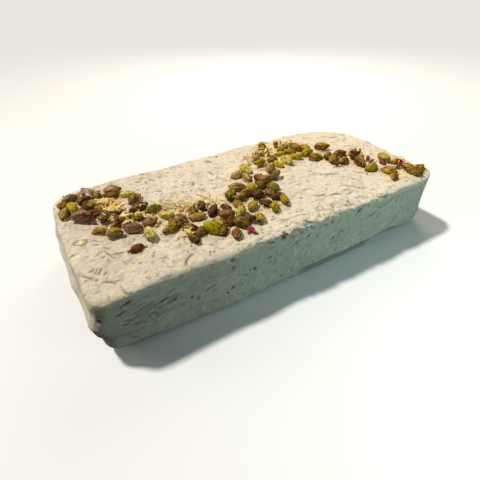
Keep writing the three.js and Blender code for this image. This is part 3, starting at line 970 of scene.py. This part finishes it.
# The kernels' oil stains the nougat round them, and the saffron threads in the left half stain it too.
STAIN_REACH = 9 * MM
places = read(nougat.data)
stain = np.zeros(len(places))
for middle, _ in laid:
    strength = 0.3 + 0.8 * golden(middle) + 0.4 * slope(middle[0], MAROON_FROM, 1.3 * MAROON_FROM)
    stain += strength * np.exp(-(((places - middle) ** 2).sum(axis=1)) / STAIN_REACH**2)
stain += 0.45 * bell(places[:, 0], -62 * MM, 30 * MM) * bell(places[:, 1], -5 * MM, 12 * MM)
paint(nougat.data, "stain", np.minimum(stain, 1))


# Dried rose petals, plucked from the flower and dried until they are curled and brittle. They are strewn
# by hand, and a few dark crimson ones have come to rest among the kernels.
def surface_height(spot_x, spot_y):
    """How high the nougat or a kernel lies at a place."""
    heights = [ground(tree, spot_x, spot_y) for tree in (nougat_tree, *kernel_trees)]
    return max(h for h in heights if h is not None)


def place_copy(base, spot, turns, scale, lift=0.0):
    """Copies a small piece to lie on what is under it."""
    copy = own_copy(base)
    turned = Matrix.Rotation(turns[0], 4, "Z") @ Matrix.Rotation(turns[1], 4, "Y")
    turned = turned @ Matrix.Rotation(turns[2], 4, "X") @ Matrix.Diagonal((scale, scale, scale, 1))
    copy.data.transform(turned)
    bottom = min(v.co.z for v in copy.data.vertices)
    rest = surface_height(*spot) - bottom + lift
    top = max(v.co.z for v in copy.data.vertices)
    rest = min(rest, CEILING - top)
    copy.data.transform(Matrix.Translation((*spot, rest)))
    return copy


# A sheet bends about the axes in its own plane only while it stands upright.
UPRIGHT = Matrix.Rotation(math.pi / 2, 4, "X")
PETAL_THICKNESS = 0.2 * MM


def petal_base(name, length, breadth, cup, curl):
    """One petal along X, cupped across and curled along, with a thickness of its own."""
    bpy.ops.object.select_all(action="DESELECT")
    bpy.ops.mesh.primitive_grid_add(x_subdivisions=8, y_subdivisions=6, size=1)
    petal = bpy.context.object
    petal.name = name
    for step in range(9):
        row_x = step / 8 - 0.5
        width = math.sin(math.pi * min(0.97, (step + 0.6) / 9)) ** 0.7
        select_where(petal, lambda co: abs(co.x - row_x) < 0.01)
        bpy.ops.transform.resize(value=(1, width, 1), center_override=(row_x, 0, 0))
    bpy.ops.mesh.select_all(action="SELECT")
    bpy.ops.transform.resize(value=(length, breadth, 1), center_override=(0, 0, 0))
    bpy.ops.object.mode_set(mode="OBJECT")
    petal.data.transform(UPRIGHT)
    finish_with(petal, "SIMPLE_DEFORM", deform_method="BEND", deform_axis="X", angle=cup)
    finish_with(petal, "SIMPLE_DEFORM", deform_method="BEND", deform_axis="Z", angle=curl)
    petal.data.transform(UPRIGHT.inverted())
    crumple = read(petal.data)
    folds = np.stack([lumps(crumple, 0.22 * length, seed, 2) for seed in (2, 6, 8)], axis=1)
    write(petal.data, crumple + folds * breadth * (0.08, 0.1, 0.16))
    finish_with(petal, "SOLIDIFY", thickness=PETAL_THICKNESS)
    shade_smooth(petal)
    return petal


nougat_tree = tree_of(nougat.data)
rng = np.random.default_rng(5)
petal_bases = [
    petal_base("cupped_petal", 9 * MM, 6.5 * MM, 1.6, 0.8),
    petal_base("rolled_petal", 10 * MM, 6.5 * MM, 2.2, 1.2),
]
petals = [
    place_copy(
        petal_bases[number % 2], (spot_x * MM, spot_y * MM),
        (math.radians(heading), rng.normal(0, 0.3), rng.normal(0, 0.5)), scale,
    )
    for number, (spot_x, spot_y, heading, scale) in enumerate((
        (-165, 21, 20, 0.6), (-158, 14, -40, 0.7), (-161, 17, 70, 0.5), (-140, 0, 100, 0.9),
        (-153, 13, 10, 0.8), (19, 8, 30, 0.9), (128, -4, 60, 1.3), (109, -15, -20, 1.2),
        (149, -29, 10, 1.2), (158, -38, 80, 1.2), (-60, -30, 130, 0.5), (152, -20, 40, 1),
        (138, -12, -30, 1.2), (164, -55, 0, 1.1),
    ))
]


def mottled(name, light, dark, grain_size, roughness, detail=3, start=0.4, end=0.62):
    """A dry matt stuff that mottles between two colours, in patches of this size."""
    material = new_material(name)
    own_place = add(material, "ShaderNodeTexCoord")
    mottle = add(
        material, "ShaderNodeTexNoise", {"Scale": 1 / grain_size, "Detail": detail},
        {"Vector": (own_place, "Object")},
    )
    share = add(
        material, "ShaderNodeMapRange", {"From Min": start, "From Max": end}, {"Value": (mottle, "Fac")}
    )
    colour = add(
        material, "ShaderNodeMix", {"A": linear(light), "B": linear(dark)},
        {"Factor": (share, "Result")}, data_type="RGBA",
    )
    shader = add(
        material, "ShaderNodeBsdfPrincipled", {"Roughness": roughness},
        {"Base Color": (colour, "Result")},
    )
    add(material, "ShaderNodeOutputMaterial", links={"Surface": (shader, "BSDF")})
    return material


def finish_group(name, pieces, material):
    """Joins like pieces, gives them their material and fixes them to the body."""
    group = join(name, pieces)
    group.data.materials.clear()
    group.data.materials.append(material)
    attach(group, "root")


# Dried crimson petal: a deep red that clouds almost to black, and dull.
crimson = mottled("dried_crimson_petal", "#8C2438", "#46101C", 2.5 * MM, 0.6, start=0, end=1)
finish_group("crimson_petals", petals, crimson)


# One brighter petal stands crumpled at the front of the middle heap, torn into three folded scraps that
# still hang together. It has kept its magenta, dull and faintly clouded.
magenta = mottled("magenta_petal", "#B02A50", "#6E1430", 2 * MM, 0.55, detail=2, start=0, end=1)
torn = [
    place_copy(petal_bases[0], (-41 * MM, -71 * MM), (math.radians(-95), 0.5, 0.9), 0.9),
    place_copy(petal_bases[1], (-39 * MM, -74 * MM), (math.radians(-60), 0.2, -0.7), 0.8),
    place_copy(petal_bases[1], (-43 * MM, -69 * MM), (math.radians(-120), 0.3, 0.4), 0.8),
]
finish_group("magenta_petal", torn, magenta)


# A dried rosebud lies on its side among the kernels at the back left. It is one flower, picked before it
# opened: three rings of small petals, wrapped round each other and looser towards the outside.
bud = []
for layer, (count, size, opening) in enumerate(((3, 0.95, 0.25), (4, 1.2, 0.42), (5, 1.4, 0.6))):
    for number in range(count):
        petal = own_copy(petal_bases[0])
        turn = 2 * math.pi * (number + 0.4 * layer) / count
        petal.data.transform(Matrix.Diagonal((1.15 * size, 1.25 * size, size, 1)))
        petal.data.transform(Matrix.Translation((4 * MM, 0, -3.6 * MM * size)))
        petal.data.transform(Matrix.Rotation(opening * 0.5, 4, "Y"))
        petal.data.transform(Matrix.Rotation(turn, 4, "X"))
        bud.append(petal)

# Pale rose petal, dried: papery and almost white, with pink streaks.
pale_rose = mottled(
    "dried_pale_rose_petal", "#FFF6EC", "#F4CCC4", 3 * MM, 0.65, detail=4, start=0.46, end=0.66
)
bud = join("rosebud", bud)
heading = Matrix.Rotation(math.radians(205), 4, "Z")
bud.data.transform(heading @ Matrix.Rotation(math.radians(-18), 4, "Y"))
bud_top = max(v.co.z for v in bud.data.vertices)
bud.data.transform(Matrix.Translation((-149 * MM, 66 * MM, CEILING - bud_top)))
finish_group("rosebud", [bud], pale_rose)
for base in petal_bases:
    bpy.data.objects.remove(base)

# The flush kernel was skinned, so its bare flesh shows: smooth, pale and faintly golden.
bare_flesh = mottled("bare_kernel_flesh", "#F2E4B4", "#D9BE6E", 4 * MM, 0.5)
finish_group("flush_kernel", [flush], bare_flesh)


# Saffron threads: the long thin parts from inside a flower, dried until they bend and curl. They are
# scattered over the left half of the trail, where they lie and stand among the kernels.
THREAD_STEPS = 9
THREAD_TAPER = 0.93


def thread_base(name, length, radius, bend, twist):
    """A thread along X, extruded step by step, each step turned a little and thinner than the last."""
    bpy.ops.object.select_all(action="DESELECT")
    bpy.ops.mesh.primitive_circle_add(
        vertices=5, radius=radius, fill_type="NGON", rotation=(0, math.pi / 2, 0)
    )
    thread = bpy.context.object
    thread.name = name
    bpy.ops.object.transform_apply(location=True, rotation=True, scale=True)
    bpy.ops.object.mode_set(mode="EDIT")
    bpy.ops.mesh.select_all(action="SELECT")
    tip = Vector((0, 0, 0))
    heading = Vector((1, 0, 0))
    for step in range(THREAD_STEPS):
        turn = Matrix.Rotation(bend / THREAD_STEPS * (1 + math.sin(2.1 * step)), 3, "Z")
        turn = turn @ Matrix.Rotation(twist / THREAD_STEPS * math.cos(1.7 * step), 3, "Y")
        heading = turn @ heading
        move = heading * (length / THREAD_STEPS)
        bpy.ops.mesh.extrude_region_move(TRANSFORM_OT_translate={"value": move})
        tip = tip + move
        bpy.ops.transform.resize(value=[THREAD_TAPER] * 3, center_override=tip)
    bpy.ops.mesh.select_all(action="SELECT")
    bpy.ops.mesh.normals_make_consistent(inside=False)
    bpy.ops.object.mode_set(mode="OBJECT")
    # A thread that curls back on itself can come out inside out, so its blunt end is made to face back.
    blunt_end = min(thread.data.polygons, key=lambda face: face.center.length)
    if blunt_end.normal.x > 0:
        thread.data.flip_normals()
    shade_smooth(thread)
    return thread


thread_bases = [
    thread_base("long_thread", 21 * MM, 0.58 * MM, 1.6, 0.8),
    thread_base("hooked_thread", 15 * MM, 0.62 * MM, 2.4, -0.7),
    thread_base("straight_thread", 18 * MM, 0.55 * MM, 0.7, 0.4),
    thread_base("short_thread", 12 * MM, 0.6 * MM, 1.6, 1),
]
threads = []
for middle_x, middle_y, reach_x, reach_y, count, upright in (
    (-66, -10, 22, 12, 34, 0.25), (-86, 2, 14, 9, 18, 0.3), (-42, -18, 14, 8, 12, 0.3),
    (-135, 25, 22, 14, 14, 0.2), (-150, 60, 6, 6, 4, 0.5), (38, 42, 26, 12, 8, 0.1),
):
    for _ in range(count):
        spot = rng.normal((middle_x, middle_y), (reach_x / 2, reach_y / 2)) * MM
        base = thread_bases[rng.integers(len(thread_bases))]
        turns = (rng.uniform(0, 2 * math.pi), -abs(rng.normal(0, upright)), rng.normal(0, 0.5))
        threads.append(place_copy(base, spot, turns, rng.uniform(0.7, 1.1), -0.2 * MM))
for base in thread_bases:
    bpy.data.objects.remove(base)

# Dry straw: a dull gold that darkens in places along each thread.
straw = mottled("dry_straw", "#F4E09C", "#BE9E50", 9 * MM, 0.6)
finish_group("threads", threads, straw)


# Yellow shreds: thin parings of kernel and candied peel, which curl and crumple as they dry. Most are
# heaped in a tuft at the left end of the trail, and the rest are scattered along it in wisps.
def shred_base(name, length, breadth, curl, twist):
    """A thin strip along X, curled and twisted."""
    bpy.ops.object.select_all(action="DESELECT")
    bpy.ops.mesh.primitive_grid_add(x_subdivisions=7, y_subdivisions=2, size=1)
    shred = bpy.context.object
    shred.name = name
    bpy.ops.object.mode_set(mode="EDIT")
    bpy.ops.mesh.select_all(action="SELECT")
    bpy.ops.transform.resize(value=(length, breadth, 1), center_override=(0, 0, 0))
    bpy.ops.object.mode_set(mode="OBJECT")
    shred.data.transform(UPRIGHT)
    finish_with(shred, "SIMPLE_DEFORM", deform_method="BEND", deform_axis="Z", angle=curl)
    finish_with(shred, "SIMPLE_DEFORM", deform_method="TWIST", deform_axis="X", angle=twist)
    shred.data.transform(UPRIGHT.inverted())
    crumple = read(shred.data)
    crumple += 0.25 * breadth * np.stack([lumps(crumple, 3 * MM, seed, 2) for seed in (3, 4, 5)], axis=1)
    write(shred.data, crumple)
    finish_with(shred, "SOLIDIFY", thickness=0.25 * MM)
    shade_smooth(shred)
    return shred


shred_bases = [
    shred_base("long_shred", 13 * MM, 1.5 * MM, 1.4, 1),
    petal_base("broad_shred", 10 * MM, 4.5 * MM, 1.6, 0.8),
    petal_base("folded_shred", 11 * MM, 3.4 * MM, 2.6, 1.1),
    shred_base("thin_shred", 14 * MM, 0.9 * MM, 2, 1.2),
]
shreds = []
for middle_x, middle_y, reach, count, height_of_heap in (
    (-140, 33, 8, 64, 5), (-137, 14, 8, 64, 5), (-131, -3, 8, 10, 2), (-122, 4, 12, 6, 1),
    (-104, 4, 12, 8, 1), (-112, -22, 12, 8, 1), (-82, -14, 14, 8, 1), (-92, -46, 6, 10, 1),
    (6, 29, 5, 6, 1), (20, 38, 6, 6, 1), (60, 65, 7, 10, 1), (58, 45, 7, 10, 1),
    (81, 50, 8, 12, 1), (97, 53, 8, 10, 1), (42, 50, 14, 14, 1), (150, -15, 12, 9, 1),
    (176, -44, 7, 12, 1),
):
    for _ in range(count):
        away = rng.normal(0, reach / 2, 2)
        spot = (np.array((middle_x, middle_y)) + away) * MM
        base = shred_bases[rng.integers(len(shred_bases))]
        turns = rng.uniform(0, 2 * math.pi, 3) * (1, 0.09, 0.12)
        up = height_of_heap * rng.uniform(0, 1) * math.exp(-(away @ away) / reach**2) * MM
        shreds.append(place_copy(base, spot, turns, rng.uniform(0.5, 1.1), up - 0.4 * MM))
for base in shred_bases:
    bpy.data.objects.remove(base)

# Dried parings: pale yellow and dull, deeper where the cut edges have browned.
parings = mottled("dried_yellow_parings", "#FAE6A8", "#E4BC62", 7 * MM, 0.7)
finish_group("yellow_shreds", shreds, parings)


# Crumbs: what broke off the kernels, their skins and the nougat as they were strewn and pressed in. They
# lie between the kernels and round them, and a few green bits of kernel sit in the long side's pits.
def crumb_base(name, flatten, seed):
    """A small angular crumb."""
    bpy.ops.object.select_all(action="DESELECT")
    bpy.ops.mesh.primitive_uv_sphere_add(segments=6, ring_count=4, radius=0.5 * MM)
    crumb = bpy.context.object
    crumb.name = name
    bpy.ops.object.mode_set(mode="EDIT")
    bpy.ops.mesh.select_all(action="SELECT")
    bpy.ops.transform.vertex_random(offset=0.16 * MM, seed=seed)
    bpy.ops.transform.resize(value=(1.3, 1, flatten), center_override=(0, 0, 0))
    bpy.ops.object.mode_set(mode="OBJECT")
    shade_smooth(crumb)
    return crumb


def against_side(base, spot_x, spot_z, turns, size):
    """Copies a crumb to stick in the long side, or in its rim, without passing the block's own box."""
    hit = nougat_tree.ray_cast(Vector((spot_x, 2 * slab_low[1], spot_z)), Vector((0, 1, 0)))[0]
    copy = own_copy(base)
    turned = Matrix.Rotation(turns[0], 4, "Z") @ Matrix.Rotation(turns[1], 4, "Y")
    copy.data.transform(turned @ Matrix.Diagonal((size, size, size, 1)))
    front = min(v.co.y for v in copy.data.vertices)
    depth = max(hit.y, slab_low[1] + INSET - front)
    copy.data.transform(Matrix.Translation((spot_x, depth, spot_z)))
    return copy


crumb_bases = [crumb_base("round_crumb", 0.8, 1), crumb_base("flat_crumb", 0.45, 2)]

# Each kind of crumb is dull and mottled where it broke: golden or green flesh, brown skin, cream nougat.
golden_flesh = mottled("broken_golden_kernel", "#E8CC80", "#C9A250", 3 * MM, 0.7)
green_flesh = mottled("broken_green_kernel", "#9C9238", "#5E5426", 3 * MM, 0.6)
broken_skin = mottled("broken_skin", "#8A6048", "#4E3020", 3 * MM, 0.7)
broken_nougat = mottled("nougat_crumb", "#EFE2C6", "#E2D0A6", 3 * MM, 0.8)
for name, material, slot, count, smallest, largest, stray in (
    ("golden_crumbs", golden_flesh, "pistachio_green", 230, 0.8, 2.8, 5),
    ("olive_crumbs", green_flesh, "pistachio_green", 90, 0.7, 2.2, 5),
    ("skin_crumbs", broken_skin, "pistachio_brown_skin", 90, 0.6, 1.8, 5),
    ("cream_crumbs", broken_nougat, "nougat", 240, 0.8, 2.4, 8),
):
    crumbs = []
    for _ in range(count):
        beside = laid[rng.integers(len(laid))][0]
        spot = beside[:2] + rng.normal(0, stray * MM, 2)
        base = crumb_bases[rng.integers(2)]
        turns = rng.uniform(0, 2 * math.pi, 3)
        size = rng.uniform(smallest, largest)
        bare = ground(nougat_tree, *spot)
        if bare is None or bare < TOP - 3 * MM or surface_height(*spot) > bare + 2 * MM:
            continue
        crumbs.append(place_copy(base, spot, turns, size, -0.3 * MM))
    if name == "olive_crumbs":
        for spot_x, below in (
            (-17, 3), (-15, 6), (40, 8), (76, 8), (74, 11), (-71, 8), (-70, 16), (-47, 29), (-75, 43),
            (22, 19), (98, 20), (106, 25), (46, 30), (-110, 31), (-30, 22), (140, 12),
        ):
            base = crumb_bases[rng.integers(2)]
            turns = rng.uniform(0, 2 * math.pi, 2)
            crumbs.append(
                against_side(base, spot_x * MM, TOP - below * MM, turns, rng.uniform(1.2, 2.4))
            )
    finish_group(name, crumbs, material)

# Small lumps of the nougat itself, torn up as the front rim was trimmed, still cling along it. They have
# the nougat's own surface.
RIM_CRUMBS = 90
rim_crumbs = []
for _ in range(RIM_CRUMBS):
    spot_x, below = min(max(rng.normal(35, 45), -60), 125), rng.uniform(0, 3.5)
    base = crumb_bases[rng.integers(2)]
    turns = rng.uniform(0, 2 * math.pi, 2)
    height_on_side = min(TOP - below * MM, TOP - 0.6 * MM)
    rim_crumbs.append(
        against_side(base, spot_x * MM, height_on_side, turns, rng.uniform(1.2, 3.4))
    )
finish_group("rim_crumbs", rim_crumbs, nougat_skin)
for base in crumb_bases:
    bpy.data.objects.remove(base)


# The studio: a plain white paper floor, a warm key light from the back left, a cool fill low in front of
# the right half, a warm soft box at the left and another at the back, and a pale surround. The camera
# sees the floor and the surround lighter than they shine on the slab.
FLOOR_SIZE = 12

bpy.ops.object.select_all(action="DESELECT")
bpy.ops.mesh.primitive_plane_add(size=FLOOR_SIZE)
floor = bpy.context.object
floor.name = "studio_floor"
paper = new_material("white_paper")
ray = add(paper, "ShaderNodeLightPath")
tint = add(
    paper, "ShaderNodeMix", {"A": linear("#2E302C"), "B": linear("#F0F5FF")},
    {"Factor": (ray, "Is Camera Ray")}, data_type="RGBA",
)
matt = add(paper, "ShaderNodeBsdfDiffuse", links={"Color": (tint, "Result")})
add(paper, "ShaderNodeOutputMaterial", links={"Surface": (matt, "BSDF")})
floor.data.materials.append(paper)


def aim(light, place, target):
    light.location = place
    light.rotation_euler = (Vector(target) - Vector(place)).to_track_quat("-Z", "Y").to_euler()


bpy.ops.object.light_add(type="SUN")
key = bpy.context.object
key.name = "key_light"
key.data.energy = 3.15
key.data.angle = math.radians(6)
key.data.color = linear("#FBF2E2")[:3]
aim(key, (-0.55, 0.62, 1.35), (0, 0, 0))


def soft_box(name, size, power, colour, place, target):
    """A square lamp, out of sight of the camera."""
    bpy.ops.object.light_add(type="AREA")
    lamp = bpy.context.object
    lamp.name = name
    lamp.data.size = size
    lamp.data.energy = power
    lamp.data.color = linear(colour)[:3]
    lamp.visible_camera = False
    aim(lamp, place, target)


soft_box("fill_light", 0.25, 0.49, "#C6EBE2", (0.13, -0.38, 0.12), (0.1, -0.09, TOP / 2))
soft_box("left_light", 0.25, 0.9, "#FFF3DC", (-0.6, 0.3, 0.15), (-0.19, 0, TOP / 2))
soft_box("back_light", 0.5, 2.2, "#FFEBCB", (0.38, 0.5, 0.5), (0.1, 0, TOP))

world = bpy.data.worlds.new("surround")
bpy.context.scene.world = world
world.use_nodes = True
world.node_tree.nodes.clear()
seen = add(world, "ShaderNodeLightPath")
strength = add(
    world, "ShaderNodeMapRange", {"To Min": 0.15, "To Max": 1}, {"Value": (seen, "Is Camera Ray")}
)
surround = add(
    world, "ShaderNodeBackground", {"Color": linear("#E2D9C8")}, {"Strength": (strength, "Result")}
)
add(world, "ShaderNodeOutputWorld", links={"Surface": (surround, "Background")})
bpy.context.scene.view_settings.view_transform = "Standard"

# The camera stands at the left of the long side and looks down on it.
CAMERA_PLACE = (-188.3 * MM, -297 * MM, 270.4 * MM)
CAMERA_DOWN = math.radians(38.46)
CAMERA_TURN = math.radians(-30.9)

bpy.ops.object.camera_add(
    location=CAMERA_PLACE, rotation=(math.pi / 2 - CAMERA_DOWN, 0, CAMERA_TURN)
)
camera = bpy.context.object
camera.data.lens = 28.6
camera.data.sensor_width = 36
camera.data.clip_start = 1 * MM
bpy.context.scene.camera = camera
